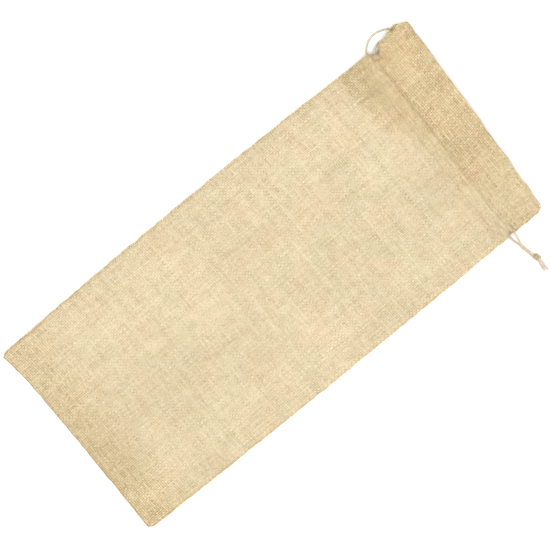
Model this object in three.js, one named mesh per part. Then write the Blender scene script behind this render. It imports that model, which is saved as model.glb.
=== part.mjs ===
// Drawstring wine bag of coarse burlap, lying flat and empty.
// X runs across the bag from its loop side to its knot side, +Y towards the mouth, +Z up.
// The origin is on the surface that the bag lies on, under its middle. Sizes are in millimetres.
import * as THREE from 'three';

// Cloth, cord and thread
const CLOTH = 0.7; // thickness of the woven cloth
const GAP = 0.3; // clearance between layers that touch
const SEAM_GAP = 1.0; // room between the two panels along a seam, where its thread lies
const CORD = 1.7; // diameter of the drawstring
const THREAD = 0.4; // diameter of the sewing thread
const CORD_BULGE = CORD + GAP; // how far the hem's two layers part over the cord

// Outline of the flat bag: its bottom, its mouth and its two slightly bowed sides
const BOTTOM_Y = -178.1;
const BOTTOM_EAR = 3.9; // how far the corner on the loop side sticks out of the bottom edge
const MOUTH_Y_LEFT = 181.8;
const MOUTH_Y_RIGHT = 172.9;
const CUT_CORNER = { side: 172.8, rise: 8.6, share: 0.04 }; // crumpled mouth corner, loop side
const LEFT_X = -77.0;
const RIGHT_X = 81.5;
const LEFT_BOW = 3.1;
const RIGHT_BOW = 1.4;
const BOW_HALF = 180; // the bow dies out this far from the middle
const NOTCH = { left: 5.0, leftY: 151, right: 1.0, rightY: 145, reach: 3.5 }; // pinched by the cord
const FLARE = { start: 146, reach: 26.8, width: 5.6, power: 1.5 }; // frill spreading past the notch
const CORNER_RADIUS = { bottom: 3, mouth: 4 };
const NOMINAL_WIDTH = 160;

// Casing: the channel between two rows of stitches that holds the cord
const UPPER_ROW = [148.6, 145.1]; // y at the loop side and at the knot side
const LOWER_ROW = [137.6, 135.3];
const HEM_ALLOWANCE = 4; // cloth of the hem past its lower row of stitches
const CORD_BELOW_ROW = 3.0; // front cord's centre under the upper row
const CORD_PITCH = 4.1; // from the front cord down to the back cord
const TUNNEL = { foot: 3.0, slope: 1.9 }; // half width of a cord's tunnel, and of each slope
const EXIT_RISE = 4.2; // the cords climb towards the mouth where they leave the casing
const EXIT_SHARE = 0.09; // over this share of the width
const STITCH_INSET = 0.06; // the rows of stitches stop this share of the width short of each side

// The stiff cloth stays a little open
const BODY_PUFF = 8;
const NECK_PUFF = 7;
const PUFF_POWER = 4;
const PUFF_START = 60; // length over which the bag opens, from its bottom seam
const CORNER_LIFT = 2.6; // the mouth's corner on the loop side lies on the loop

const SEAM_INSET = 1.5; // from a panel's edge to the seam thread
const SIDES = { cord: 8, thread: 6 };
const STATIONS = 22; // across a panel

const COLOURS = { cloth: 0xe6d4af, thread: 0xd9c59c, cord: 0xd8cdb9 };

const mix = THREE.MathUtils.lerp;
const smooth = (value, low, high) => THREE.MathUtils.smoothstep(value, low, high);
const clamp01 = (value) => THREE.MathUtils.clamp(value, 0, 1);

// How much a corner of this radius takes off the edge, at a distance in from the side
function cornerCut(distance, radius) {
  if (distance >= radius) return 0;
  return radius - Math.sqrt(radius ** 2 - (radius - distance) ** 2);
}

// Outline and lines of the flat bag. u runs from 0 at the loop side to 1 at the knot side.
const pinch = (y, centre) => Math.exp(-(((y - centre) / NOTCH.reach) ** 2));
const bow = (y, depth) => depth * (1 - (y / BOW_HALF) ** 2);

function leftX(y) {
  const flare = FLARE.width * (Math.max(0, y - FLARE.start) / FLARE.reach) ** FLARE.power;
  return LEFT_X - bow(y, LEFT_BOW) - flare + NOTCH.left * pinch(y, NOTCH.leftY);
}

function rightX(y) {
  return RIGHT_X + bow(y, RIGHT_BOW) - NOTCH.right * pinch(y, NOTCH.rightY);
}

function bottomY(u) {
  const ear = BOTTOM_EAR * Math.exp(-u / 0.12);
  const near = Math.min(u, 1 - u) * NOMINAL_WIDTH;
  return BOTTOM_Y - ear + cornerCut(near, CORNER_RADIUS.bottom);
}

function mouthY(u) {
  const straight = mix(MOUTH_Y_LEFT, MOUTH_Y_RIGHT, u);
  const cut = CUT_CORNER.side + (CUT_CORNER.rise * u) / CUT_CORNER.share;
  return Math.min(straight, cut) - cornerCut((1 - u) * NOMINAL_WIDTH, CORNER_RADIUS.mouth);
}

const upperRowY = (u) => mix(UPPER_ROW[0], UPPER_ROW[1], u);
const lowerRowY = (u) => mix(LOWER_ROW[0], LOWER_ROW[1], u);

function frontCordY(u) {
  const ends = 2 - smooth(u, 0, EXIT_SHARE) - smooth(1 - u, 0, EXIT_SHARE);
  return upperRowY(u) - CORD_BELOW_ROW + EXIT_RISE * ends;
}

const backCordY = (u) => frontCordY(u) - CORD_PITCH;

const at = (u, y, z) => new THREE.Vector3(mix(leftX(y), rightX(y), u), y, z);

// Heights of the middle of each cloth layer
const tunnel = (y, centre) => clamp01((TUNNEL.foot - Math.abs(y - centre)) / TUNNEL.slope);
const across = (u) => 1 - Math.abs(2 * u - 1) ** PUFF_POWER;

function puff(u, y) {
  const fromBottom = clamp01((y - bottomY(u)) / PUFF_START);
  const height = mix(BODY_PUFF, NECK_PUFF, smooth(y, 90, 130));
  return height * across(u) * (1 - (1 - fromBottom) ** 3);
}

const lift = (u, y) => CORNER_LIFT * smooth(y, 150, 157) * (1 - smooth(u, 0.08, 0.22));

const backOuterZ = (u, y) => CLOTH / 2 + lift(u, y);

function backInnerZ(u, y) {
  return backOuterZ(u, y) + CLOTH + GAP + CORD_BULGE * tunnel(y, backCordY(u));
}

// The front panel rides over the back's tunnel at the sides, and is clear of it in the middle
function frontInnerZ(u, y) {
  const overBackTunnel = CORD_BULGE * tunnel(y, backCordY(u)) * (1 - across(u));
  return backOuterZ(u, y) + 2 * CLOTH + GAP + SEAM_GAP + puff(u, y) + overBackTunnel;
}

function frontOuterZ(u, y) {
  const hem = smooth(y, lowerRowY(u) - 16, lowerRowY(u) - HEM_ALLOWANCE - 1);
  const single = backOuterZ(u, y) + CLOTH + SEAM_GAP + puff(u, y);
  const overCords = tunnel(y, backCordY(u)) * (1 - across(u)) + tunnel(y, frontCordY(u));
  return single + 2 * hem * (CLOTH + GAP) + CORD_BULGE * overCords;
}

// Places along a panel, from the bottom to the mouth fold
function bodyRows(u) {
  const start = bottomY(u);
  const end = lowerRowY(u) - 16;
  const shares = [0, 0.02, 0.05, 0.1, 0.18, 0.3, 0.45, 0.6, 0.8, 1];
  return shares.map((share) => mix(start, end, share));
}

function hemRows(u) {
  const low = lowerRowY(u);
  const back = backCordY(u);
  const front = frontCordY(u);
  const flat = TUNNEL.foot - TUNNEL.slope;
  const casing = [low, back - TUNNEL.foot, back - flat, back + flat, front - flat, front + flat];
  const frill = [0, 0.15, 0.4, 0.7, 1].map((share) =>
    mix(front + TUNNEL.foot, mouthY(u) - foldRadius(), share));
  return [low - HEM_ALLOWANCE, ...casing, ...frill];
}

const foldRadius = () => (GAP + CLOTH) / 2 + CLOTH / 2; // outer radius of the fold at the mouth

// One panel as a sheet: across it by station, and along it up its outer layer, round the mouth
// fold and back down its inner layer. Each place has a point on both faces of the cloth.
function panelSheet(outerZ, innerZ, outward) {
  const grid = [];
  for (let i = 0; i <= STATIONS; i++) {
    const u = (1 - Math.cos((Math.PI * i) / STATIONS)) / 2;
    const rows = [];
    const place = (y, z, normalY, normalZ) =>
      rows.push([1, -1].map((side) =>
        at(u, y + (side * normalY * CLOTH) / 2, z + (side * normalZ * CLOTH) / 2)));
    const hem = hemRows(u);
    const body = [...bodyRows(u), lowerRowY(u) - 10.5, lowerRowY(u) - 6];
    for (const y of [...body, ...hem]) place(y, outerZ(u, y), 0, outward);
    const foldY = hem.at(-1);
    const middle = (outerZ(u, foldY) + innerZ(u, foldY)) / 2;
    for (const degrees of [45, 90, 135]) {
      const turn = THREE.MathUtils.degToRad(degrees);
      const reach = (GAP + CLOTH) / 2;
      const [normalY, normalZ] = [Math.sin(turn), outward * Math.cos(turn)];
      place(foldY + reach * normalY, middle + reach * normalZ, normalY, normalZ);
    }
    for (const y of hem.toReversed()) place(y, innerZ(u, y), 0, -outward);
    grid.push(rows);
  }
  return solidFromSheet(grid, outward);
}

// Closes the two faces of a sheet, grid[i][j] = [outer point, inner point], along its four edges
function solidFromSheet(grid, outward) {
  const rows = grid.length;
  const columns = grid[0].length;
  const points = grid.flat(2);
  const index = (i, j, face) => (i * columns + j) * 2 + face;
  const triangles = [];
  const quad = (a, b, c, d) => {
    const corners = outward > 0 ? [a, b, c, a, c, d] : [a, c, b, a, d, c];
    triangles.push(...corners);
  };
  for (let i = 0; i < rows - 1; i++) {
    for (let j = 0; j < columns - 1; j++) {
      quad(index(i, j, 0), index(i + 1, j, 0), index(i + 1, j + 1, 0), index(i, j + 1, 0));
      quad(index(i, j, 1), index(i, j + 1, 1), index(i + 1, j + 1, 1), index(i + 1, j, 1));
    }
    const last = columns - 1;
    quad(index(i, 0, 0), index(i, 0, 1), index(i + 1, 0, 1), index(i + 1, 0, 0));
    quad(index(i, last, 0), index(i + 1, last, 0), index(i + 1, last, 1), index(i, last, 1));
  }
  for (let j = 0; j < columns - 1; j++) {
    const last = rows - 1;
    quad(index(0, j, 0), index(0, j + 1, 0), index(0, j + 1, 1), index(0, j, 1));
    quad(index(last, j, 0), index(last, j, 1), index(last, j + 1, 1), index(last, j + 1, 0));
  }
  const geometry = new THREE.BufferGeometry().setFromPoints(points);
  geometry.setIndex(triangles);
  return geometry;
}

// A round cord or thread along points, with closed ends
function tubeAlong(points, diameter, sides, step) {
  const curve = new THREE.CatmullRomCurve3(points, false, 'centripetal');
  const section = new THREE.Shape();
  for (let i = 0; i < sides; i++) {
    const turn = (2 * Math.PI * i) / sides;
    const [x, y] = [(Math.cos(turn) * diameter) / 2, (Math.sin(turn) * diameter) / 2];
    if (i === 0) section.moveTo(x, y);
    else section.lineTo(x, y);
  }
  section.closePath();
  const steps = Math.max(2, Math.round(curve.getLength() / step));
  return new THREE.ExtrudeGeometry(section, { steps, bevelEnabled: false, extrudePath: curve });
}

const cordAlong = (points) => tubeAlong(points, CORD, SIDES.cord, 2.4 * CORD);

// Points of a line across the bag between two shares of its width
function acrossBag(from, to, count, pointAt) {
  return Array.from({ length: count + 1 }, (_, i) => pointAt(mix(from, to, i / count)));
}

// A row of casing stitches, on the face that shows
function frontStitches(rowY) {
  const height = CLOTH / 2 + GAP + THREAD;
  return tubeAlong(acrossBag(STITCH_INSET, 1 - STITCH_INSET, 24, (u) =>
    at(u, rowY(u), frontOuterZ(u, rowY(u)) + height)), THREAD, SIDES.thread, 8);
}

function backStitches(rowY) {
  const height = (CLOTH + SEAM_GAP) / 2;
  return tubeAlong(acrossBag(STITCH_INSET, 1 - STITCH_INSET, 12, (u) =>
    at(u, rowY(u), backInnerZ(u, rowY(u)) + height)), THREAD, SIDES.thread, 12);
}

// A seam's thread runs between the two panels, just inside their edges
function sideSeam(u, fromY, toY, layerZ) {
  const inset = u < 0.5 ? SEAM_INSET : -SEAM_INSET;
  const height = (CLOTH + SEAM_GAP) / 2;
  const points = Array.from({ length: 11 }, (_, i) => {
    const y = mix(fromY, toY, i / 10);
    return at(u, y, layerZ(u, y) + height).add(new THREE.Vector3(inset, 0, 0));
  });
  return tubeAlong(points, THREAD, SIDES.thread, 18);
}

function bottomSeam() {
  const height = (CLOTH + SEAM_GAP) / 2;
  return tubeAlong(acrossBag(0.03, 0.97, 12, (u) => {
    const y = bottomY(u) + SEAM_INSET;
    return at(u, y, backOuterZ(u, y) + height);
  }), THREAD, SIDES.thread, 12);
}

// The drawstring. Each run lies in its own casing, and both leave at the sides.
const ROOM_BELOW_CORD = CLOTH / 2 + GAP + CORD / 2; // from a layer's middle up to the cord's
const frontCordAt = (u) => {
  const y = frontCordY(u);
  return at(u, y, frontInnerZ(u, y) + ROOM_BELOW_CORD);
};
const backCordAt = (u) => {
  const y = backCordY(u);
  return at(u, y, backOuterZ(u, y) + ROOM_BELOW_CORD);
};

const RUN_POINTS = 36;
const frontRun = () => cordAlong(acrossBag(0, 1, RUN_POINTS, frontCordAt));
const backRun = () => cordAlong(acrossBag(0, 1, RUN_POINTS, backCordAt));

const beyond = (point, distance) => point.clone().add(new THREE.Vector3(distance, 0, 0));
const places = (list) => list.map((place) => new THREE.Vector3(...place));

// From the front casing, under the lifted corner of the frill and back to the back casing
const LOOP = [
  [-76.0, 150.4, 4.3],
  [-77.7, 152.2, 3.6],
  [-79.0, 154.8, 2.4],
  [-79.5, 157.7, 1.4],
  [-78.7, 160.6, 0.95],
  [-77.0, 163.3, 0.95],
  [-75.9, 166.3, 0.95],
  [-77.3, 169.3, 0.95],
  [-80.4, 170.1, 0.95],
  [-82.9, 168.3, 0.95],
  [-84.5, 165.1, 0.95],
  [-85.6, 161.4, 0.95],
  [-86.0, 157.6, 0.95],
  [-85.4, 154.0, 0.95],
  [-83.9, 150.9, 1.05],
  [-81.9, 148.2, 1.3],
  [-79.9, 146.4, 1.65],
];

// The two ends come out of the knot side, lean on each other and run to the knot
const STRAND_FRONT = [
  [84.0, 146.2, 4.2],
  [87.2, 145.8, 3.5],
  [90.6, 145.3, 2.95],
  [94.4, 145.6, 2.8],
  [98.0, 146.4, 2.8],
  [100.5, 147.1, 2.7],
];
const STRAND_BACK = [
  [84.5, 142.5, 1.5],
  [87.6, 143.3, 1.15],
  [91.1, 144.1, 0.95],
  [94.8, 144.6, 0.95],
  [98.3, 145.4, 0.95],
  [100.9, 146.0, 1.1],
];
const KNOT_CENTRE = [104.4, 148.0, 2.65];
const KNOT_SIZE = [6.8, 5.6, 4.9];
const TAIL_FRONT = [
  [108.0, 148.9, 2.4],
  [110.3, 148.9, 1.6],
  [112.9, 148.8, 0.95],
  [115.8, 148.6, 0.95],
];
const TAIL_BACK = [
  [107.9, 147.2, 1.3],
  [110.3, 146.8, 0.95],
  [112.6, 146.7, 0.95],
  [114.9, 146.6, 0.95],
];

function loop() {
  const start = beyond(frontCordAt(0), -GAP);
  const end = beyond(backCordAt(0), -GAP);
  return cordAlong([start, ...places(LOOP), end]);
}

function knot() {
  const geometry = new THREE.SphereGeometry(0.5, 16, 10);
  geometry.scale(...KNOT_SIZE);
  return geometry;
}

const material = (color) => new THREE.MeshStandardMaterial({ color, roughness: 0.9, metalness: 0 });
const cloth = () => material(COLOURS.cloth);
const thread = () => material(COLOURS.thread);
const cord = () => material(COLOURS.cord);

function piece(name, geometry, finish, place = [0, 0, 0]) {
  const mesh = new THREE.Mesh(geometry, finish);
  mesh.name = name;
  mesh.position.set(...place);
  return mesh;
}

const bag = new THREE.Group();
bag.add(
  piece('back_panel', panelSheet(backOuterZ, backInnerZ, -1), cloth()),
  piece('front_panel', panelSheet(frontOuterZ, frontInnerZ, 1), cloth()),
  piece('front_casing_upper_stitch', frontStitches(upperRowY), thread()),
  piece('front_casing_lower_stitch', frontStitches(lowerRowY), thread()),
  piece('back_casing_upper_stitch', backStitches(upperRowY), thread()),
  piece('back_casing_lower_stitch', backStitches(lowerRowY), thread()),
  piece('bottom_seam', bottomSeam(), thread()),
);
for (const [side, u] of [['left', 0], ['right', 1]]) {
  const seamTop = lowerRowY(u) - HEM_ALLOWANCE - 2;
  const frillBottom = frontCordY(u) + TUNNEL.foot + 2;
  const frillTop = mouthY(u) - 4;
  bag.add(
    piece(`side_seam_${side}`, sideSeam(u, bottomY(u) + 4, seamTop, backOuterZ), thread()),
    piece(`heading_seam_${side}`, sideSeam(u, frillBottom, frillTop, backInnerZ), thread()),
  );
}
bag.add(
  piece('front_run', frontRun(), cord()),
  piece('back_run', backRun(), cord()),
  piece('loop', loop(), cord()),
  piece('strand_front', cordAlong([beyond(frontCordAt(1), GAP), ...places(STRAND_FRONT)]), cord()),
  piece('strand_back', cordAlong([beyond(backCordAt(1), GAP), ...places(STRAND_BACK)]), cord()),
  piece('knot', knot(), cord(), KNOT_CENTRE),
  piece('tail_front', cordAlong(places(TAIL_FRONT)), cord()),
  piece('tail_back', cordAlong(places(TAIL_BACK)), cord()),
);

export default bag;
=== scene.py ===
import math

import bpy
import numpy as np
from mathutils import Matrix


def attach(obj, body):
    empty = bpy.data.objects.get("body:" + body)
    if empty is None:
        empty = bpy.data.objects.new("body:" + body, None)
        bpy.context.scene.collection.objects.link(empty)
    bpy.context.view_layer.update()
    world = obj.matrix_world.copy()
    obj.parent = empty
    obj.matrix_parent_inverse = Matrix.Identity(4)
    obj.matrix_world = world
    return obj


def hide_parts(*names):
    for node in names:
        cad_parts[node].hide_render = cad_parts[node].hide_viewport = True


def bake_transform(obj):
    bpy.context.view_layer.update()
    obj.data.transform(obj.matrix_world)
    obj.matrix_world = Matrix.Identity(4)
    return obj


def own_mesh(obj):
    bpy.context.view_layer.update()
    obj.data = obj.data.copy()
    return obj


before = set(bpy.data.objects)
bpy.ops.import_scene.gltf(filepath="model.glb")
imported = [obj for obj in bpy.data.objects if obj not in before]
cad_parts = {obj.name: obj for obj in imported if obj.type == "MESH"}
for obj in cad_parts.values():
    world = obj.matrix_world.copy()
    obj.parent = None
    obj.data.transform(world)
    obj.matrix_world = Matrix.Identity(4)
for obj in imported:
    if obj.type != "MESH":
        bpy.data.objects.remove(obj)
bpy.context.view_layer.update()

# A drawstring wine bag of coarse burlap, lying flat and empty. Lengths are in millimetres in the
# frame of the part, until a mesh is made. u runs from 0 at the loop side to 1 at the knot side.
CLOTH = 0.7
GAP = 0.3
CORD = 1.7
THREAD = 0.42
BULGE = CORD + GAP  # how far the hem's two layers part over the cord
SAG = 0.8  # how far the front casing's cord sinks into the bag, in the middle
WARP = 1.34  # spacing of the lengthwise threads
WEFT = 1.59  # spacing of the crosswise threads
WIDTH = 160.0  # across the flat bag, as a scale for how far features reach in from its sides
ALLOWANCE = 9.0  # seam allowance inside the bag
TURN = 0.6  # how deep the cloth is turned in at the sides and the bottom
PRESSED = 0.45  # thickness of the cloth where it is pressed into a seam
STITCH = 3.0  # from one casing stitch to the next


# ---------------------------------------------------------------- camera
camera = bpy.data.objects.new("camera", bpy.data.cameras.new("camera"))
bpy.context.scene.collection.objects.link(camera)
camera.data.lens = 200
camera.data.sensor_width = 36
camera.data.clip_end = 20
camera.location = (-0.0003, 0.0001, 2.114)
camera.rotation_euler = (0, 0, math.radians(50.77))
bpy.context.scene.camera = camera


# ---------------------------------------------------------------- curves and noise
def mix(a, b, t):
    return a + (b - a) * t


def smooth(v, low, high):
    t = np.clip((np.asarray(v, float) - low) / (high - low), 0, 1)
    return t * t * (3 - 2 * t)


def bell(v, width):
    return np.exp(-((v / width) ** 2))


def noise1(v, length, seed):
    """Smooth noise along a line, from -1 to 1, with features of this length."""
    table = np.random.default_rng(seed).uniform(-1, 1, 1024)
    t = np.asarray(v, float) / length + 400.0
    i = np.floor(t).astype(int)
    f = t - i
    f = f * f * (3 - 2 * f)
    return mix(table[i % 1024], table[(i + 1) % 1024], f)


def noise2(x, y, length_x, length_y, seed):
    """Smooth noise over the cloth, from -1 to 1."""
    table = np.random.default_rng(seed).uniform(-1, 1, (256, 256))
    x, y = np.broadcast_arrays(np.asarray(x, float), np.asarray(y, float))
    s, t = x / length_x + 100.0, y / length_y + 100.0
    i, j = np.floor(s).astype(int), np.floor(t).astype(int)
    f, g = s - i, t - j
    f, g = f * f * (3 - 2 * f), g * g * (3 - 2 * g)
    low = mix(table[i % 256, j % 256], table[(i + 1) % 256, j % 256], f)
    high = mix(table[i % 256, (j + 1) % 256], table[(i + 1) % 256, (j + 1) % 256], f)
    return mix(low, high, g)


# ---------------------------------------------------------------- the flat bag's lines
def place_x(u, y):
    """Across the bag. The cord pinches the sides in only where it leaves them."""
    flare = 5.6 * (np.maximum(0, y - 146) / 26.8) ** 1.5
    left = -77.0 - 3.1 * (1 - (y / 180) ** 2) - flare
    right = 81.5 + 1.4 * (1 - (y / 180) ** 2)
    at_loop = 3.7 * bell(y - 151, 3.3) * np.exp(-u * WIDTH / 9)
    at_knot = bell(y - 145, 3.5) * np.exp(-(1 - u) * WIDTH / 9)
    return mix(left, right, u) + at_loop - at_knot


def left_x(y):
    return place_x(0.0, y)


def right_x(y):
    return place_x(1.0, y)


def corner_cut(distance, radius):
    """How far a round corner's edge falls back, this far from the side."""
    inside = np.clip(radius - distance, 0, radius)
    return radius - np.sqrt(radius**2 - inside**2)


def bottom_y(u):
    near = np.minimum(u, 1 - u) * WIDTH
    return -178.1 - 3.9 * np.exp(-u / 0.12) + corner_cut(near, 3)


def mouth_y(u):
    edge = np.minimum(mix(181.8, 172.9, u), 172.8 + 8.6 * u / 0.04)
    return edge - corner_cut((1 - u) * WIDTH, 4)


def upper_row(u):
    return mix(148.6, 145.1, u)


def lower_row(u):
    return mix(137.6, 135.3, u)


def front_cord_y(u):
    return upper_row(u) - 3.0 + 4.2 * (2 - smooth(u, 0, 0.09) - smooth(1 - u, 0, 0.09))


def back_cord_y(u):
    return front_cord_y(u) - 4.1


def across(u):
    """1 over most of the width, falling to 0 at the sides."""
    return 1 - np.abs(2 * u - 1) ** 4


def puff(u, y):
    """How high the front panel rises off the back one."""
    from_bottom = np.clip((y - bottom_y(u)) / 60, 0, 1)
    height = mix(8, 7, smooth(y, 90, 130))
    lens = 1 - smooth(np.abs(2 * u - 1), 0.30, 1.0)  # the neck stays flat where the cords leave
    share = mix(across(u), lens, smooth(y, 95, 130))
    return height * share * (1 - (1 - from_bottom) ** 3)


def lift(u, y):
    """Both panels' rise off the floor at the frill's corner, where the loop lies under it."""
    return 2.6 * smooth(y, 150, 157) * (1 - smooth(u, 0.08, 0.22))


# ---------------------------------------------------------------- the cloth's relief
def tunnel(u, y, centre, below, above, foot):
    """Where the two layers of the hem part over a cord; wide where the cords leave it."""
    ends = smooth(np.abs(2 * u - 1), 0.62, 0.74)
    d = y - centre
    low = mix(below, 4.6, ends)
    foot = mix(foot, 2.4, ends)
    return smooth(d, -low - foot, -low) * (1 - smooth(d, above, above + 2.2))


def front_tunnel(u, y):
    return tunnel(u, y, front_cord_y(u), 4.2, 0.8, 3.4)


def back_tunnel(u, y):
    return tunnel(u, y, back_cord_y(u), 1.2, 1.0, 2.4)


def edge_distance(u, y):
    width = right_x(y) - left_x(y)
    return np.clip(np.minimum(u, 1 - u) * width, 0, None)


def gathers(u, y):
    """Small folds that fan out from where the cords leave the casing."""
    x = place_x(u, y)
    total = 0
    for at_x, at_y, inward, depth, seed in ((-75, 149.0, 1, 0.85, 3), (81.5, 145.6, -1, 0.6, 5)):
        dx, dy = (x - at_x) * inward, y - at_y
        d = np.hypot(dx, dy)
        turn = np.arctan2(dy, dx)
        folds = np.cos(8.5 * turn + 1.4 * noise1(turn * 10, 4, seed))
        total = total + depth * folds * smooth(d, 1.5, 7) * np.exp(-d / 14)
    return total


def seam_puckers(u, y):
    """Short waves along the sides and the bottom, drawn up by the seam thread. Both panels."""
    side = np.where(u < 0.5, 0, 40)
    near_side = np.exp(-edge_distance(u, y) / 4.0)
    near_bottom = np.exp(-np.clip(y - bottom_y(u), 0, None) / 4.0)
    x = place_x(u, y)
    return (0.34 * noise1(y + side * 7, 3.3, 21) * near_side
            + 0.34 * noise1(x, 3.6, 22) * near_bottom * (1 - near_side))


def side_pucker(u, y):
    """How far the side edges wander in or out; positive is inwards."""
    return 0.30 * noise1(y + 300 * (u > 0.5), 3.6, 61) + 0.13 * noise1(y, 1.6, 62)


def front_relief(u, y):
    x = place_x(u, y)
    edge = edge_distance(u, y)
    free = smooth(edge, 0, 16) * smooth(y - bottom_y(u), 0, 16)
    row_up, row_low = upper_row(u), lower_row(u)
    above = np.clip(y - row_up, 0, None)
    body = 0.50 * noise2(x, y, 36, 55, 11) + 0.26 * noise2(x + 0.5 * y, y - 0.4 * x, 15, 26, 12)
    fine = 0.07 * noise2(x, y, 5.5, 6.5, 13)
    frill = smooth(above, 3, 26)
    wavy = 0.75 * np.sin(x / 4.1 + 1.8 * noise1(x, 27, 14)) * frill * smooth(edge, 2, 20)
    drawn = np.exp(-np.abs(y - row_up) / 3.4) + 0.7 * np.exp(-np.abs(y - row_low) / 3.0)
    shirring = 0.20 * noise1(x, 2.6, 15) * drawn * smooth(edge, 3, 12)
    rise = 0.3 * (1 - np.exp(-((above / 5.0) ** 2))) * smooth(edge, 2, 14)
    # the crumpled corner of the frill, on the loop side
    corner = (1 - smooth(u, 0.05, 0.17)) * smooth(y, 151, 158)
    slant = (x + 79) * 0.80 - (y - 163) * 0.60
    crumple = corner * (1.9 * bell(slant - 2.5, 3.0) - 1.0 * bell(slant - 8.0, 2.4)
                        + 0.4 * noise2(x, y, 4.2, 5.0, 16))
    return (free * body + smooth(edge, 0, 6) * fine + wavy + shirring + rise + crumple
            + gathers(u, y) * smooth(edge, 0.5, 4) + seam_puckers(u, y))


def back_relief(u, y):
    x = place_x(u, y)
    edge = edge_distance(u, y)
    free = smooth(edge, 0, 16) * smooth(y - bottom_y(u), 0, 16)
    body = 0.30 + 0.30 * noise2(x, y, 32, 44, 31) + 0.10 * noise2(x, y, 11, 15, 32)
    fold = 0.35 * np.abs(gathers(u, y)) * smooth(edge, 0.5, 4)
    casing = 1 - 0.94 * bell(y - 140, 10)  # held flat by its two rows of stitches
    return (free * body + fold) * casing + np.abs(seam_puckers(u, y)) * 0.6


def stitch_dents(u, y, row):
    """The thread draws the cloth down along a row of stitches, deepest where it dives in."""
    x = place_x(u, y)
    along = smooth(edge_distance(u, y), 6, 10)
    return along * bell(y - row, 1.15) * (0.8 - 0.2 * np.cos(2 * np.pi * x / STITCH))


def back_outer(u, y):
    dents = stitch_dents(u, y, upper_row(u)) + stitch_dents(u, y, lower_row(u))
    return CLOTH / 2 + lift(u, y) + back_relief(u, y) + 0.3 * dents


def back_inner(u, y):
    return CLOTH / 2 + lift(u, y) + back_relief(u, y) + CLOTH + GAP + BULGE * back_tunnel(u, y)


def front_inner(u, y):
    over = BULGE * back_tunnel(u, y) * (1 - across(u)) - SAG * front_tunnel(u, y) * across(u)
    return (CLOTH / 2 + lift(u, y) + 2 * CLOTH + GAP + 1.0 + puff(u, y) + over
            + front_relief(u, y))


def front_outer(u, y):
    hem = smooth(y, lower_row(u) - 16, lower_row(u) - 5)
    over = back_tunnel(u, y) * (1 - across(u)) + front_tunnel(u, y)
    dents = stitch_dents(u, y, upper_row(u)) + 0.75 * stitch_dents(u, y, lower_row(u))
    return (CLOTH / 2 + lift(u, y) + CLOTH + 1.0 + puff(u, y) + 2 * hem * (CLOTH + GAP)
            + BULGE * over - SAG * front_tunnel(u, y) * across(u) - 0.42 * dents
            + front_relief(u, y))


# ---------------------------------------------------------------- meshes
def make_mesh(name, points, faces, coordinates, painted=None):
    mesh = bpy.data.meshes.new(name)
    mesh.from_pydata((np.asarray(points, float) * 0.001).tolist(), [], faces)
    mesh.polygons.foreach_set("use_smooth", [True] * len(mesh.polygons))
    layer = mesh.attributes.new("cloth", "FLOAT_VECTOR", "POINT")
    layer.data.foreach_set("vector", np.asarray(coordinates, np.float32).ravel())
    for attribute, values in (painted or {}).items():
        layer = mesh.attributes.new(attribute, "FLOAT", "POINT")
        layer.data.foreach_set("value", np.asarray(values, np.float32).ravel())
    mesh.update()
    obj = bpy.data.objects.new(name, mesh)
    bpy.context.scene.collection.objects.link(obj)
    return obj


def column_stations():
    """Across a panel: seam allowance, turned edge, cloth, turned edge, seam allowance. Each has
    u, its bulge outwards, its run into the allowance, its depth into the turn, its normal's x
    and the share left for the normal's other directions."""
    left = [(0.0, 0.0, run, 1.0, 0.0, -1.0) for run in (1.0, 0.7, 0.4, 0.15, 0.0)]
    for degrees in (150, 120, 90, 60, 30):
        a = math.radians(degrees)
        left.append((0.0, math.sin(a), 0.0, (1 - math.cos(a)) / 2, -math.sin(a), math.cos(a)))
    count = 116
    main = []
    for i in range(count + 1):
        even, eased = i / count, (1 - math.cos(math.pi * i / count)) / 2
        main.append((mix(even, eased, 0.3), 0.0, 0.0, 0.0, 0.0, 1.0))
    right = [(1.0, s, run, d, -nx, nn) for (_, s, run, d, nx, nn) in left[::-1]]
    return np.array(left + main + right).T


def row_stations(bottom, low, fold_y):
    """Along a panel: bottom allowance, turned edge, outer face, fold at the mouth, inside of the
    hem. Each has y, its depth into the turn, its normal's y, the share left for the normal's
    other directions and how far it is round the fold."""
    rows = []
    turn_inset = 0.65
    for back_off in (1.0, 0.6, 0.25, 0.0):
        rows.append((bottom + turn_inset + back_off * ALLOWANCE, 1.0, 0.0, -1.0, 0))
    for degrees in (135, 90, 45):
        a = math.radians(degrees)
        rows.append((bottom + turn_inset - 0.3 * math.sin(a), (1 - math.cos(a)) / 2,
                     -math.sin(a), math.cos(a), 0))
    for share in np.concatenate([np.linspace(0, 0.04, 12)[:-1], np.linspace(0.04, 1, 158)]):
        rows.append((mix(bottom + turn_inset, low - 16, share), 0.0, 0.0, 1.0, 0))
    for share in np.linspace(0, 1, 14)[1:-1]:
        rows.append((mix(low - 16, low - 4, share), 0.0, 0.0, 1.0, 0))
    hem = np.linspace(0, 1, 66)
    for share in hem:
        rows.append((mix(low - 4, fold_y, share), 0.0, 0.0, 1.0, 0))
    for degrees in (30, 60, 90, 120, 150):
        rows.append((fold_y, 0.0, 0.0, 1.0, math.radians(degrees)))
    for share in hem[::-1]:
        rows.append((mix(low - 4, fold_y, share), 0.0, 0.0, 1.0, math.pi))
    return rows


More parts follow.
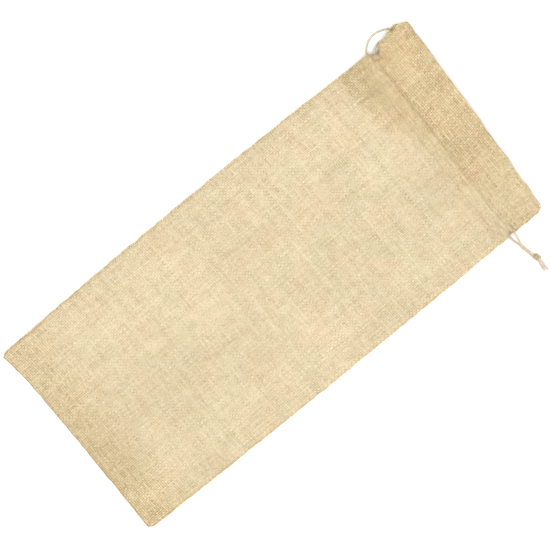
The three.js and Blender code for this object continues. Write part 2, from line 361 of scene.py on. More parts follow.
def tones(u, y, x, bottom):
    """How deep and warm the cloth looks, and how dark, both painted shade. Depth and warmth are
    most where the cloth is doubled and lets less light through, and also lie in a band near the
    bottom and along the seam edges; the shade is darker towards the bottom, with painted light
    towards the loop side and just above the upper row, and painted shadow where the cord dives
    under the cloth.
    """
    start = mix(106, 125, smooth(u, 0.1, 0.5))
    seam = np.exp(-np.minimum(edge_distance(u, y), np.maximum(y - bottom, 0)) / 1.5)
    # painted shade and warmth: a band from below the hem up over the heading, weaker on the knot
    # side, a band near the bottom, and the seam edges
    layers = (smooth(y, start, start + 26) * (1 - 0.45 * smooth(u, 0.55, 0.9))
              + mix(0.42, 0.90, u) * smooth(-y, 128, 168) + 0.8 * seam)
    # painted shade: a little lighter towards the loop side, a little darker towards the bottom
    shade = 0.99 + 0.04 * smooth(1 - u, 0.4, 0.9) - 0.015 * smooth(-y, -20, 80)
    # painted light on the frill just above the upper row, away from the knot side
    shade = shade + 0.05 * smooth(y - upper_row(u), -0.5, 1.5) * (1 - smooth(u, 0.5, 0.8))
    # painted shadow where the cord dives under the cloth: darker spots in the colour where the
    # cord leaves the casing and under the frill's corner
    for at_x, at_y, size, depth in ((-75.4, 151.8, 2.4, 0.55), (-80.4, 169.4, 1.5, 0.62),
                                    (80.2, 143.9, 2.2, 0.45)):
        shade = shade * (1 - depth * bell(np.hypot(x - at_x, y - at_y), size))
    return np.minimum(layers, 1.4), shade


def panel_faces(shape, outward):
    """The faces of a sheet with two sides and closed edges."""
    index = np.arange(shape[0] * shape[1]).reshape(shape)
    back = index + index.size
    quads = []

    def strip(a, b, c, d):
        q = np.stack([a, b, c, d], axis=-1).reshape(-1, 4)
        quads.append(q if outward > 0 else q[:, ::-1])

    strip(index[:-1, :-1], index[1:, :-1], index[1:, 1:], index[:-1, 1:])
    strip(back[:-1, :-1], back[:-1, 1:], back[1:, 1:], back[1:, :-1])
    strip(index[:-1, 0], back[:-1, 0], back[1:, 0], index[1:, 0])
    strip(index[:-1, -1], index[1:, -1], back[1:, -1], back[:-1, -1])
    strip(index[0, :-1], index[0, 1:], back[0, 1:], back[0, :-1])
    strip(index[-1, :-1], back[-1, :-1], back[-1, 1:], index[-1, 1:])
    return np.concatenate(quads).tolist()


def panel(name, outward, outer, inner, seed):
    """One panel, cut and sewn: outward is 1 for the front, -1 for the back."""
    u, bulge_out, run, depth_share, normal_x, normal_share = (
        row[:, None] for row in column_stations())
    x_mid = place_x(u, 160.0)
    low = lower_row(u)
    mouth = mouth_y(u) + 0.40 * noise1(x_mid, 8, seed) + 0.14 * noise1(x_mid, 1.7, seed + 1)
    bottom = bottom_y(u) + 0.30 * noise1(x_mid, 5, 71) + 0.14 * noise1(x_mid, 1.7, 72)
    reach = (GAP + CLOTH) / 2
    rows = row_stations(bottom, low, mouth - reach - CLOTH / 2)
    shape = (len(u), len(rows))
    y = np.hstack([np.broadcast_to(r[0], u.shape) for r in rows])
    row_depth, normal_y, row_share, fold = (
        np.broadcast_to(np.array([r[k] for r in rows])[None, :], shape) for k in (1, 2, 3, 4))

    # base surface, with its turn over the fold at the mouth
    z_out, z_in = outer(u, y), inner(u, y)
    centre = (z_out + z_in) / 2
    is_fold = (fold > 0) & (fold < math.pi)
    z = np.where(fold == 0, z_out, np.where(is_fold,
                 centre + outward * np.cos(fold) * reach, z_in))
    y_fold = np.where(is_fold, y + reach * np.sin(fold), y)
    ny = np.where(is_fold, np.sin(fold), 0.0)
    nz = outward * np.cos(fold)

    # the turned edges at the sides
    in_hem = smooth(y, low - 8, low - 4)
    opening = smooth(y, back_cord_y(u) - 7, back_cord_y(u) - 4) * (
        1 - smooth(y, front_cord_y(u) + 2.5, front_cord_y(u) + 4.5))
    depth_full = mix(TURN, 0.48, in_hem) * (1 - 0.55 * opening)
    inset = depth_full / 2 + CLOTH / 2
    run_full = mix(ALLOWANCE, 0.4, in_hem)  # the hem has hardly any allowance
    sign = np.where(u < 0.5, 1.0, -1.0)
    pucker = side_pucker(u, y) * sign
    x = place_x(u, y) + inset * (1 - 2 * u) + pucker * np.exp(-edge_distance(u, y) / 5)
    x = x + sign * (run * run_full - bulge_out * depth_full / 2)
    depth = np.maximum(depth_share * depth_full, row_depth * TURN)

    normal = np.stack([
        np.broadcast_to(normal_x, shape),
        normal_y + ny * np.minimum(normal_share, row_share),
        nz * np.minimum(normal_share, row_share)], axis=-1)
    normal /= np.maximum(np.linalg.norm(normal, axis=-1, keepdims=True), 1e-6)
    middle = np.stack([x, y_fold - ny * depth, z - nz * depth], axis=-1)
    pressed = np.clip(np.maximum(depth_share * np.ones(shape), row_depth), 0, 1)
    half = mix(CLOTH, PRESSED, pressed)[..., None] / 2
    half = half * (1 - 0.35 * (in_hem * pressed)[..., None])
    sides = [middle + normal * half, middle - normal * half]

    # cloth coordinates, along the threads
    beyond = run * run_full + depth_share * 1.0
    cx = 120 + (u - 0.5) * 160.7 - sign * beyond
    steps = np.linalg.norm(np.diff(middle, axis=1), axis=-1)
    cy = 20 + np.concatenate([np.zeros((shape[0], 1)), np.cumsum(steps, axis=1)], axis=1)
    # threads run straight across, so their places along the panel change slowly with u
    powers = u ** np.arange(5)[None, :]
    cy = powers @ np.linalg.lstsq(powers, cy, rcond=None)[0]
    coordinates = [np.stack([cx * np.ones(shape), cy, np.full(shape, seed + k * 3.0)], axis=-1)
                   for k in (0, 1)]
    layers, shade = (value * np.ones(shape) for value in tones(u, y, x, bottom))
    return make_mesh(
        name,
        np.concatenate([p.reshape(-1, 3) for p in sides]),
        panel_faces(shape, outward),
        np.concatenate([c.reshape(-1, 3) for c in coordinates]),
        {"layers": np.tile(layers.ravel(), 2), "shade": np.tile(shade.ravel(), 2)},
    )


# ---------------------------------------------------------------- ropes and threads
def resample(points, step):
    """A smooth line through points, with places this far apart."""
    p = np.asarray(points, float)
    p = np.vstack([2 * p[0] - p[1], p, 2 * p[-1] - p[-2]])
    line = []
    for k in range(1, len(p) - 2):
        p0, p1, p2, p3 = p[k - 1:k + 3]
        d = [max(np.linalg.norm(b - a), 1e-6) ** 0.5 for a, b in ((p0, p1), (p1, p2), (p2, p3))]
        m1 = ((p1 - p0) / d[0] - (p2 - p0) / (d[0] + d[1]) + (p2 - p1) / d[1]) * d[1]
        m2 = ((p2 - p1) / d[1] - (p3 - p1) / (d[1] + d[2]) + (p3 - p2) / d[2]) * d[1]
        for t in np.linspace(0, 1, 40, endpoint=False):
            line.append((2 * t**3 - 3 * t**2 + 1) * p1 + (t**3 - 2 * t**2 + t) * m1
                        + (3 * t**2 - 2 * t**3) * p2 + (t**3 - t**2) * m2)
    line.append(p[-2])
    line = np.array(line)
    far = np.concatenate([[0], np.cumsum(np.linalg.norm(np.diff(line, axis=0), axis=1))])
    count = max(2, int(round(far[-1] / step)))
    places = np.linspace(0, far[-1], count + 1)
    return np.stack([np.interp(places, far, line[:, k]) for k in range(3)], axis=1), places


def frames_along(line):
    """Two directions square to a line at each of its points, that turn as little as they can."""
    tangent = np.gradient(line, axis=0)
    tangent /= np.linalg.norm(tangent, axis=1, keepdims=True)
    side = np.cross(tangent[0], [0, 0, 1.0])
    if np.linalg.norm(side) < 0.1:
        side = np.cross(tangent[0], [0, 1.0, 0])
    sides = []
    for t in tangent:
        side = side - t * np.dot(side, t)
        side = side / np.linalg.norm(side)
        sides.append(side)
    return np.array(sides), np.cross(tangent, sides)


def sweep(line, radii, angles, twist):
    """Rings of points round a line, and the faces between and over them."""
    sides, ups = frames_along(line)
    turn = angles[None, :] + twist[:, None]
    ring = (np.cos(turn)[..., None] * sides[:, None, :]
            + np.sin(turn)[..., None] * ups[:, None, :]) * radii[..., None]
    points = line[:, None, :] + ring
    rings, count = radii.shape
    index = np.arange(rings * count).reshape(rings, count)
    turned = np.roll(index, -1, axis=1)
    quads = np.stack([index[:-1], turned[:-1], turned[1:], index[1:]], axis=-1).reshape(-1, 4)
    faces = quads.tolist()
    faces.append(index[0][::-1].tolist())
    faces.append(index[-1].tolist())
    return points.reshape(-1, 3), faces


def rope_parts(points, diameter, pitch=5.2, seed=0, fray=0.0, start_turn=0.0):
    """A cord laid up from three plies. Gives its points, its faces and its fibre coordinates."""
    line, far = resample(points, 0.42)
    sides = 24
    angles = np.linspace(0, 2 * np.pi, sides, endpoint=False)
    radius = diameter / 2
    ply, centre = 0.4641 * radius, 0.5359 * radius
    from_crest = (angles + np.pi / 3) % (2 * np.pi / 3) - np.pi / 3
    reach = centre * np.cos(from_crest) + np.sqrt(
        np.maximum(ply**2 - (centre * np.sin(from_crest)) ** 2, 0))
    profile = np.maximum(reach, 0.74 * radius)
    slack = 1 + 0.05 * noise1(far, 4.0, 80 + seed) + 0.03 * noise1(far, 1.3, 81 + seed)
    if fray:
        slack = slack * (1 + fray * smooth(far, far[-1] - 1.8, far[-1]))
    radii = profile[None, :] * slack[:, None]
    twist = 2 * np.pi * far / pitch + start_turn
    verts, faces = sweep(line, radii, angles, twist)
    around = np.broadcast_to(from_crest[None, :] * radius * 2 + seed * 9.7, radii.shape)
    along = np.broadcast_to(far[:, None], radii.shape)
    which = np.broadcast_to(np.floor(angles / (2 * np.pi / 3))[None, :] + seed * 4, radii.shape)
    return verts, faces, np.stack([around, along, which], axis=-1).reshape(-1, 3)


def thread_parts(points, diameter, sides=6, taper=False):
    """A plain round thread, which may run to a fine tip."""
    line, far = resample(points, 0.35)
    angles = np.linspace(0, 2 * np.pi, sides, endpoint=False)
    radius = np.full(len(far), diameter / 2)
    if taper:
        radius = radius * (1 - 0.8 * smooth(far, far[-1] * 0.3, far[-1]))
    verts, faces = sweep(line, np.repeat(radius[:, None], sides, axis=1), angles, far * 0)
    coordinates = np.stack([np.tile(angles, len(far)), np.repeat(far, sides),
                            np.zeros(len(verts))], axis=-1)
    return verts, faces, coordinates


def joined(name, parts):
    """One object from several closed meshes."""
    verts, faces, coordinates, start = [], [], [], 0
    for v, f, c in parts:
        verts.append(v)
        coordinates.append(c)
        faces.extend([[k + start for k in face] for face in f])
        start += len(v)
    return make_mesh(name, np.vstack(verts), faces, np.vstack(coordinates))


# ---------------------------------------------------------------- the drawstring
def front_cord_at(u):
    y = front_cord_y(u)
    return np.array([place_x(u, y), y, float(front_inner(u, y)) + CLOTH / 2 + GAP + CORD / 2])


def back_cord_at(u):
    y = back_cord_y(u)
    base = CLOTH / 2 + float(lift(u, y)) + float(back_relief(u, y))
    return np.array([place_x(u, y), y, base + CLOTH / 2 + GAP + CORD / 2])


LOOP = [
    [-76.0, 150.4, 4.3], [-77.7, 152.2, 3.6], [-79.0, 154.8, 2.4], [-79.5, 157.7, 1.4],
    [-78.7, 160.6, 0.95], [-77.0, 163.3, 0.95], [-75.9, 166.3, 0.95], [-77.3, 169.3, 0.95],
    [-80.4, 170.1, 0.95], [-82.9, 168.3, 0.95], [-84.5, 165.1, 0.95], [-85.6, 161.4, 0.95],
    [-86.0, 157.6, 0.95], [-85.4, 154.0, 0.95], [-83.9, 150.9, 1.05], [-81.9, 148.2, 1.3],
    [-79.9, 146.4, 1.65],
]
STRAND_FRONT = [
    [84.0, 146.2, 4.2], [87.2, 145.8, 3.5], [90.6, 145.3, 2.95], [94.4, 145.6, 2.8],
    [98.0, 146.4, 2.8], [100.5, 147.1, 2.7],
]
STRAND_BACK = [
    [84.5, 142.5, 1.5], [87.6, 143.3, 1.15], [91.1, 144.1, 0.95], [94.8, 144.6, 0.95],
    [98.3, 145.4, 0.95], [100.9, 146.0, 1.1],
]
KNOT_CENTRE = np.array([104.4, 148.0, 2.65])
TAIL_FRONT = [
    [108.0, 148.9, 2.4], [110.3, 148.9, 1.6], [112.9, 148.8, 0.95], [115.8, 148.6, 0.95],
]
TAIL_BACK = [
    [107.9, 147.2, 1.3], [110.3, 146.8, 0.95], [112.6, 146.7, 0.95], [114.9, 146.6, 0.95],
]

INSIDE = 0.125  # share of the width over which a free end of the cord reaches into its casing


def frayed(end, direction, count, seed, length=1.9):
    """Loose fibres at a cut end."""
    rng = np.random.default_rng(seed)
    direction = np.asarray(direction, float) / np.linalg.norm(direction)
    parts = []
    for _ in range(count):
        off = rng.normal(0, 0.30, 3)
        start = np.asarray(end) + off * 0.9 - direction * 0.6
        way = direction + rng.normal(0, 0.33, 3)
        reach = length * rng.uniform(0.5, 1.0)
        tip = start + way * (0.6 + reach)
        tip[2] = max(tip[2], 0.12)
        start[2] = max(start[2], 0.2)
        middle = (start + tip) / 2 + rng.normal(0, 0.15, 3)
        middle[2] = max(middle[2], 0.12)
        parts.append(thread_parts([start, middle, tip], 0.13, sides=5, taper=True))
    return parts


def free_end(name, inner, strand, tail, seed):
    """One end of the drawstring: out of its casing, through the knot, to its frayed tip."""
    inside = [inner(1 - s) for s in np.linspace(INSIDE, 0, 10)]
    path = [*inside, *strand, *tail]
    obj = joined(name, [rope_parts(path, CORD, seed=seed, fray=0.06)])
    tuft = joined(name + "_fray", frayed(tail[-1], np.subtract(tail[-1], tail[-2]), 22, 90 + seed))
    line, far = resample(path, 1.0)
    return obj, tuft, line * 0.001, far[-1] * 0.001, inside[-1] * 0.001


front_end, front_fray, front_path, front_length, front_exit = free_end(
    "drawstring_end_front", front_cord_at, STRAND_FRONT, TAIL_FRONT, 1)
back_end, back_fray, back_path, back_length, back_exit = free_end(
    "drawstring_end_back", back_cord_at, STRAND_BACK, TAIL_BACK, 2)

loop_in = [front_cord_at(s) for s in (0.10, 0.08, 0.06, 0.04, 0.02, 0.0)]
loop_out = [back_cord_at(s) for s in (0.0, 0.02, 0.04, 0.06, 0.08, 0.10)]
loop_points = [*loop_in, *LOOP, *loop_out]
loop = joined("drawstring_loop", [rope_parts(loop_points, CORD, seed=3)])
loop_path, loop_far = resample(loop_points, 1.0)

front_run = joined("drawstring_run_front", [rope_parts(
    [front_cord_at(s) for s in np.linspace(0.11, 1 - INSIDE - 0.01, 30)], CORD, seed=4)])
back_run = joined("drawstring_run_back", [rope_parts(
    [back_cord_at(s) for s in np.linspace(0.11, 1 - INSIDE - 0.01, 30)], CORD, seed=5)])


def knot_wraps():
    """The two ends wound together round themselves, as in a tight overhand knot."""
    axis = np.array([math.cos(0.2), math.sin(0.2), 0.0])
    side = np.array([-axis[1], axis[0], 0.0])
    up = np.array([0, 0, 1.0])
    parts = []
    for k, shift in enumerate((-0.72, 0.72)):
        points = []
        for t in np.linspace(0, 1, 34):
            turn = 2 * math.pi * (1.62 * t) - 1.1
            grip = 0.35 + 0.65 * float(smooth(t, 0, 0.14) * (1 - smooth(t, 0.86, 1.0)))
            along = mix(-1.55, 1.55, t) + shift * 0.9 + 0.75 * math.cos(turn + 0.9)
            points.append(KNOT_CENTRE + axis * along + side * (1.62 * grip * math.cos(turn))
                          + up * (1.42 * grip * math.sin(turn)))
        parts.append(rope_parts(points, 1.5, pitch=4.4, seed=6 + k, start_turn=k))
    return parts


knot = joined("drawstring_knot", knot_wraps())

# ---------------------------------------------------------------- panels
back_panel = panel("cloth_back", -1, back_outer, back_inner, 40)
front_panel = panel("cloth_front", 1, front_outer, front_inner, 50)


# ---------------------------------------------------------------- stitches
def casing_stitches(name, row, outer, inner, outward):
    """Lockstitches through both layers of the hem: a row on each face."""
    parts = []
    rng = np.random.default_rng(int(row(0.5)))
    for face, out in ((outer, outward), (inner, -outward)):
        for x in np.arange(-70.5, 76.0, STITCH):
            slant = rng.uniform(-0.12, 0.12)
            points = []
            for t in np.linspace(-1, 1, 7):
                px = x + t * 1.32
                u = (px - left_x(142.0)) / (right_x(142.0) - left_x(142.0))
                y = row(u) + slant * t
                height = CLOTH / 2 + 0.16 - 0.62 * t**4
                points.append([px, y, float(face(u, y)) + out * height])
            parts.append(thread_parts(points, THREAD, sides=7))
    return joined(name, parts)


def seam_stitches(name, places):
    """Stitches in the groove between the two panels' turned edges."""
    line, far = resample(places, 0.5)
    parts = []
    for start in np.arange(0.4, far[-1] - 2.6, 2.9):
        at = np.linspace(start, start + 2.5, 6)
        points = np.stack([np.interp(at, far, line[:, k]) for k in range(3)], axis=1)
        parts.append(thread_parts(points, THREAD, sides=6))
    return joined(name, parts)


def side_places(u, y0, y1, in_heading):
    """Where a side seam's stitches lie, between the turned edges of the two panels."""
    inset = 0.62 if u < 0.5 else -0.62
    out = []
    for y in np.linspace(y0, y1, max(4, int((y1 - y0) / 2))):
        x = place_x(u, y) + side_pucker(u, y) * (1 if u < 0.5 else -1) + inset
        base = CLOTH / 2 + lift(u, y) + 0.5 * seam_puckers(np.array(u), y)
        layers = 1.0 if in_heading else 0.0
        out.append([float(x), y, float(base + layers + (CLOTH + 1.0) / 2)])
    return out


front_upper = casing_stitches("stitches_front_upper", upper_row, front_outer, front_inner, 1)
front_lower = casing_stitches("stitches_front_lower", lower_row, front_outer, front_inner, 1)
back_upper = casing_stitches("stitches_back_upper", upper_row, back_outer, back_inner, -1)
back_lower = casing_stitches("stitches_back_lower", lower_row, back_outer, back_inner, -1)
seams = []
for side, u in (("left", 0.0), ("right", 1.0)):
    seams.append(("side_seam_" + side, seam_stitches("stitches_side_" + side, side_places(
        u, bottom_y(u) + 4, lower_row(u) - 6, False))))
    seams.append(("heading_seam_" + side, seam_stitches("stitches_heading_" + side, side_places(
        u, front_cord_y(u) + 5, mouth_y(u) - 4, True))))
bottom_places = []
for u in np.linspace(0.03, 0.97, 60):
    y = float(bottom_y(u)) + 0.62
    z = CLOTH / 2 + 0.5 * float(seam_puckers(np.array(u), y)) + (CLOTH + 1.0) / 2
    bottom_places.append([float(place_x(u, y)), y, z])
seams.append(("bottom_seam", seam_stitches("stitches_bottom", bottom_places)))


# ---------------------------------------------------------------- materials
class Graph:
    """Short names for the nodes of one material."""

    def __init__(self, name):
        self.material = bpy.data.materials.new(name)
        self.material.use_nodes = True
        self.tree = self.material.node_tree
        self.shader = self.tree.nodes["Principled BSDF"]

    def feed(self, socket, value):
        if isinstance(value, bpy.types.NodeSocket):
            self.tree.links.new(value, socket)
        else:
            socket.default_value = value

    def math(self, operation, *values):
        node = self.tree.nodes.new("ShaderNodeMath")
        node.operation = operation
        for socket, value in zip(node.inputs, values):
            self.feed(socket, value)
        return node.outputs[0]

    def add(self, a, b):
        return self.math("ADD", a, b)

    def sub(self, a, b):
        return self.math("SUBTRACT", a, b)

    def mul(self, a, b):
        return self.math("MULTIPLY", a, b)

    def fma(self, a, b, c):
        """a times b, plus c."""
        return self.math("MULTIPLY_ADD", a, b, c)

    def attribute(self, name):
        node = self.tree.nodes.new("ShaderNodeAttribute")
        node.attribute_name = name
        return node

    def split(self, vector):
        node = self.tree.nodes.new("ShaderNodeSeparateXYZ")
        self.feed(node.inputs[0], vector)
        return node.outputs

    def vector(self, x, y, z):
        node = self.tree.nodes.new("ShaderNodeCombineXYZ")
        for socket, value in zip(node.inputs, (x, y, z)):
            self.feed(socket, value)
        return node.outputs[0]

    def noise(self, vector, scale=1.0, detail=2.0, roughness=0.5):
        node = self.tree.nodes.new("ShaderNodeTexNoise")
        self.feed(node.inputs["Vector"], vector)
        node.inputs["Scale"].default_value = scale
        node.inputs["Detail"].default_value = detail
        node.inputs["Roughness"].default_value = roughness
        return node.outputs["Fac"]

    def white(self, vector):
        node = self.tree.nodes.new("ShaderNodeTexWhiteNoise")
        self.feed(node.inputs["Vector"], vector)
        return node.outputs["Value"]

    def ramp(self, value, stops):
        node = self.tree.nodes.new("ShaderNodeValToRGB")
        self.feed(node.inputs[0], value)
        elements = node.color_ramp.elements
        while len(elements) < len(stops):
            elements.new(0.5)
        for element, (position, colour) in zip(elements, stops):
            element.position = position
            element.color = (*colour, 1)
        return node.outputs[0]

    def range(self, value, low, high, to_low=0.0, to_high=1.0):
        node = self.tree.nodes.new("ShaderNodeMapRange")
        node.interpolation_type = "SMOOTHSTEP"
        for socket, v in zip(node.inputs, (value, low, high, to_low, to_high)):
            self.feed(socket, v)
        return node.outputs[0]

    def blend(self, factor, a, b, mode="MIX"):
        node = self.tree.nodes.new("ShaderNodeMix")
        node.data_type = "RGBA"
        node.blend_type = mode
        self.feed(node.inputs[0], factor)
        for socket, value in ((node.inputs[6], a), (node.inputs[7], b)):
            self.feed(socket, value if isinstance(value, bpy.types.NodeSocket) else (*value, 1))
        return node.outputs[2]

    def bump(self, height, distance):
        node = self.tree.nodes.new("ShaderNodeBump")
        node.inputs["Strength"].default_value = 1.0
        node.inputs["Distance"].default_value = distance
        self.feed(node.inputs["Height"], height)
        return node.outputs[0]


def burlap():
    """Plain weave: each thread goes over and under its neighbours by turns."""
    g = Graph("burlap")
    place = g.attribute("cloth").outputs["Vector"]
    cx, cy, seed = g.split(place)
    # threads wander a little from side to side
    wander = g.noise(g.vector(g.mul(cx, 0.06), g.mul(cy, 0.025), seed), 1.0, 2.0)
    wander2 = g.noise(g.vector(g.mul(cx, 0.025), g.mul(cy, 0.06), g.add(seed, 7.3)), 1.0, 2.0)
    wx = g.math("DIVIDE", g.fma(wander, 2.6, cx), WARP)
    wy = g.math("DIVIDE", g.fma(wander2, 2.8, cy), WEFT)
    i, j = g.math("FLOOR", wx), g.math("FLOOR", wy)
    fx, fy = g.sub(g.sub(wx, i), 0.5), g.sub(g.sub(wy, j), 0.5)
    # each thread also strays on its own, which opens and closes the gaps
    stray_w = g.noise(g.vector(g.mul(i, 5.17), g.mul(cy, 0.21), seed), 1.0, 1.0)
    stray_f = g.noise(g.vector(g.mul(j, 6.31), g.mul(cx, 0.21), g.add(seed, 4.0)), 1.0, 1.0)
    fx, fy = g.fma(g.sub(stray_w, 0.5), 0.42, fx), g.fma(g.sub(stray_f, 0.5), 0.42, fy)
    parity_i = g.fma(g.math("MODULO", i, 2.0), -2.0, 1.0)
    parity_j = g.fma(g.math("MODULO", j, 2.0), -2.0, 1.0)
    over_w = g.mul(g.math("SINE", g.mul(wy, math.pi)), parity_i)
    over_f = g.mul(g.mul(g.math("SINE", g.mul(wx, math.pi)), parity_j), -1.0)

    def yarn(offset, index, along, over, salt):
        """Height and tone of one set of threads."""
        swell = g.noise(g.vector(g.mul(index, 7.31), g.mul(along, 0.10), salt), 1.0, 3.0, 0.6)
        own = g.white(g.vector(index, salt, seed))
        half = g.fma(g.sub(swell, 0.5), 0.50, g.fma(own, 0.08, 0.40))
        ratio = g.math("DIVIDE", offset, half)
        round_ = g.math("SQRT", g.math("MAXIMUM", g.sub(1.0, g.mul(ratio, ratio)), 0.0))
        streak = g.noise(g.vector(g.fma(offset, 5.5, g.mul(index, 13.7)),
                                  g.mul(along, 0.55), g.add(seed, salt)), 1.0, 3.0, 0.65)
        twist = g.math("SINE", g.fma(along, 6.9, g.mul(offset, 7.5)))
        height = g.mul(round_, g.fma(over, 0.34, 0.66))
        relief = g.add(height, g.mul(g.fma(twist, 0.06, g.mul(streak, 0.34)), round_))
        tone = g.fma(own, 0.10, g.fma(streak, 0.82, g.mul(swell, 0.40)))
        return height, relief, tone

    height_w, relief_w, tone_w = yarn(fx, i, cy, over_w, 3.1)
    height_f, relief_f, tone_f = yarn(fy, j, cx, over_f, 8.9)
    warp_on_top = g.math("GREATER_THAN", height_w, height_f)
    height = g.math("MAXIMUM", height_w, height_f)
    relief = g.math("MAXIMUM", relief_w, relief_f)
    tone = g.add(g.mul(tone_w, warp_on_top), g.mul(tone_f, g.sub(1.0, warp_on_top)))
    tone = g.fma(g.sub(warp_on_top, 0.5), 0.07, tone)
    slanted = g.vector(g.mul(g.add(cx, cy), 1.1), g.mul(g.sub(cx, cy), 0.5), seed)
    fuzz = g.noise(slanted, 1.0, 4.0, 0.7)
    tone = g.fma(g.sub(fuzz, 0.5), 0.60, g.sub(tone, 0.05))

    # doubled cloth shows more contrast
    layers = g.attribute("layers").outputs["Fac"]
    tone = g.fma(g.mul(g.sub(tone, 0.63), layers), 0.40, tone)
    colour = g.ramp(g.mul(tone, 0.805), [
        (0.24, (0.33, 0.23, 0.122)), (0.40, (0.50, 0.395, 0.248)), (0.52, (0.586, 0.488, 0.332)),
        (0.64, (0.655, 0.568, 0.412)), (0.78, (0.76, 0.70, 0.565))])
    # patches where the fibre is pinker, greener or darker
    patch = g.noise(g.vector(g.mul(cx, 0.045), g.mul(cy, 0.04), seed), 1.0, 4.0, 0.6)
    tint = g.ramp(patch, [
        (0.30, (0.955, 0.99, 0.92)), (0.44, (0.985, 1.0, 0.97)), (0.56, (0.995, 0.985, 0.95)),
        (0.70, (1.0, 0.955, 0.90))])
    colour = g.blend(1.0, colour, tint, "MULTIPLY")
    worn = g.noise(g.vector(g.mul(cx, 0.02), g.mul(cy, 0.017), g.add(seed, 2.0)), 1.0, 5.0, 0.6)
    shade = g.range(worn, 0.35, 0.68, 0.95, 1.03)
    # painted shade from the shade attribute: darker towards the bottom, painted light towards the
    # loop side and above the upper row, painted shadow where the cord dives under the cloth; the
    # worn mottling it multiplies is the cloth's own tone
    dark = g.mul(shade, g.attribute("shade").outputs["Fac"])
    colour = g.blend(1.0, colour, g.vector(dark, dark, dark), "MULTIPLY")
    # painted shade and warmth: doubled cloth lets less light through, so it looks deeper and
    # warmer; the same layers value also paints a band near the bottom and the seam edges deeper
    # and warmer
    colour = g.blend(layers, colour, g.blend(1.0, colour, (0.98, 0.915, 0.795), "MULTIPLY"))
    # painted shade in the gaps between the threads and down their sides, darker where the cloth is
    # doubled and no light comes through from below
    painted_gap_shade = g.blend(layers, (0.29, 0.215, 0.13), (0.08, 0.053, 0.028))
    colour = g.blend(g.range(height, -0.06, g.fma(layers, 0.24, 0.56)), painted_gap_shade, colour)
    g.feed(g.shader.inputs["Base Color"], colour)
    g.feed(g.shader.inputs["Roughness"], g.range(tone, 0.3, 1.1, 0.96, 0.78))
    g.shader.inputs["Specular IOR Level"].default_value = 0.25
    g.shader.inputs["Sheen Weight"].default_value = 0.12
    g.shader.inputs["Sheen Roughness"].default_value = 0.45
    g.shader.inputs["Sheen Tint"].default_value = (1.0, 0.93, 0.80, 1)
    g.feed(g.shader.inputs["Normal"], g.bump(relief, 0.00036))
    return g.material


def fibre(name, stops, fine, twist, distance, sheen):
    """Spun fibre: streaks run along it, and colour drifts slowly."""
    g = Graph(name)
    place = g.attribute("cloth").outputs["Vector"]
    around, along, which = g.split(place)
    slanted = g.fma(along, twist, around)
    streak = g.noise(g.vector(g.mul(slanted, fine), g.mul(along, 0.5), g.mul(which, 3.3)),
                     1.0, 3.0, 0.65)
    drift = g.noise(g.vector(g.mul(along, 0.22), g.mul(which, 5.1), 4.0), 1.0, 2.0)
    tone = g.fma(streak, 0.7, g.mul(drift, 0.45))
    g.feed(g.shader.inputs["Base Color"], g.ramp(tone, stops))
    g.feed(g.shader.inputs["Roughness"], g.range(streak, 0.3, 0.7, 0.95, 0.78))
    g.shader.inputs["Specular IOR Level"].default_value = 0.25
    g.shader.inputs["Sheen Weight"].default_value = sheen
    g.shader.inputs["Sheen Roughness"].default_value = 0.4
    g.feed(g.shader.inputs["Normal"], g.bump(streak, distance))
    return g.material


cloth_material = burlap()
cord_material = fibre("cotton_cord", [
    (0.30, (0.325, 0.245, 0.155)), (0.48, (0.48, 0.39, 0.275)), (0.62, (0.60, 0.515, 0.385)),
    (0.80, (0.74, 0.68, 0.56))], 2.6, 0.9, 0.00016, 0.2)
# the knot's colour is the cord's painted darker: painted shade over its tight wraps
knot_painted_shade_material = fibre("cotton_cord_painted_shade", [
    (0.30, (0.24, 0.16, 0.080)), (0.48, (0.37, 0.27, 0.145)), (0.62, (0.49, 0.385, 0.225)),
    (0.80, (0.62, 0.52, 0.35))], 2.6, 0.9, 0.00016, 0.2)
fray_material = fibre("cotton_fibre_ends", [
    (0.30, (0.62, 0.56, 0.46)), (0.60, (0.76, 0.71, 0.62)), (0.80, (0.86, 0.82, 0.74))],
    1.0, 0.5, 0.00004, 0.2)
thread_material = fibre("sewing_thread", [
    (0.30, (0.29, 0.205, 0.105)), (0.50, (0.40, 0.30, 0.17)), (0.62, (0.49, 0.385, 0.235)),
    (0.80, (0.60, 0.49, 0.33))], 1.3, 1.8, 0.00006, 0.1)

for obj, material, slot in [
    (back_panel, cloth_material, "cloth"), (front_panel, cloth_material, "cloth"),
    (front_end, cord_material, "cord"), (back_end, cord_material, "cord"),
    (loop, cord_material, "cord"), (front_run, cord_material, "cord"),
    (back_run, cord_material, "cord"), (knot, knot_painted_shade_material, "cord"),
    (front_fray, fray_material, "cord"), (back_fray, fray_material, "cord"),
    *[(o, thread_material, "thread") for o in (front_upper, front_lower, back_upper, back_lower)],
    *[(o, thread_material, "thread") for _, o in seams],
]:
    obj.data.materials.append(material)


# ---------------------------------------------------------------- how the pieces move
def open_middle(obj):
    """Bakes the piece's place into its mesh."""
    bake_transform(obj)


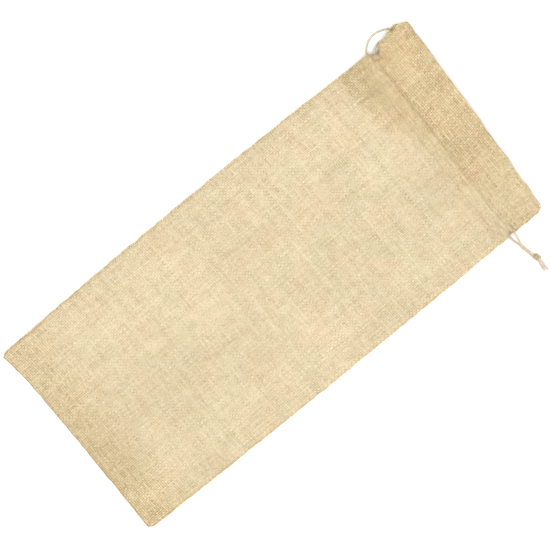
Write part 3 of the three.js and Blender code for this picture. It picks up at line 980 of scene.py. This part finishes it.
for obj, nodes in (
    (front_panel, ["front_panel"]), (front_upper, ["front_casing_upper_stitch"]),
    (front_lower, ["front_casing_lower_stitch"]), (front_run, ["front_run"]),
):
    open_middle(obj)
    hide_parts(*nodes)
for obj, nodes in (
    (back_panel, ["back_panel"]), (back_upper, ["back_casing_upper_stitch"]),
    (back_lower, ["back_casing_lower_stitch"]), (loop, ["loop"]),
    *[(o, [node]) for node, o in seams],
):
    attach(obj, "back")
    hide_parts(*nodes)
for obj, nodes in (
    (back_run, ["back_run"]), (front_end, ["strand_front", "tail_front"]),
    (back_end, ["strand_back", "tail_back"]), (knot, ["knot"]),
):
    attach(obj, "drawstring")
    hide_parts(*nodes)
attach(front_fray, "drawstring")
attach(back_fray, "drawstring")
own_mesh(loop)

# ---------------------------------------------------------------- floor and light
floor_mesh = bpy.data.meshes.new("floor")
floor_mesh.from_pydata([(-4, -4, 0), (4, -4, 0), (4, 4, 0), (-4, 4, 0)], [], [(0, 1, 2, 3)])
floor = bpy.data.objects.new("floor", floor_mesh)
floor.location.z = -0.0002
bpy.context.scene.collection.objects.link(floor)
floor_material = bpy.data.materials.new("floor")
floor_material.use_nodes = True
floor_shader = floor_material.node_tree.nodes["Principled BSDF"]
floor_shader.inputs["Base Color"].default_value = (0.93, 0.93, 0.93, 1)
floor_shader.inputs["Roughness"].default_value = 0.9
floor_shader.inputs["Specular IOR Level"].default_value = 0.0
floor_mesh.materials.append(floor_material)

world = bpy.data.worlds.new("studio")
world.use_nodes = True
world.node_tree.nodes["Background"].inputs["Color"].default_value = (1, 1, 1, 1)
world.node_tree.nodes["Background"].inputs["Strength"].default_value = 1.0
bpy.context.scene.world = world


def softbox(name, location, size, power):
    light = bpy.data.objects.new(name, bpy.data.lights.new(name, "AREA"))
    light.data.shape = "SQUARE"
    light.data.size = size
    light.data.energy = power
    light.location = location
    light.rotation_euler = (-light.location).to_track_quat("-Z", "Y").to_euler()
    bpy.context.scene.collection.objects.link(light)


softbox("softbox", (0.16, -0.06, 1.28), 0.9, 12.5)
bpy.context.scene.view_settings.view_transform = "Standard"
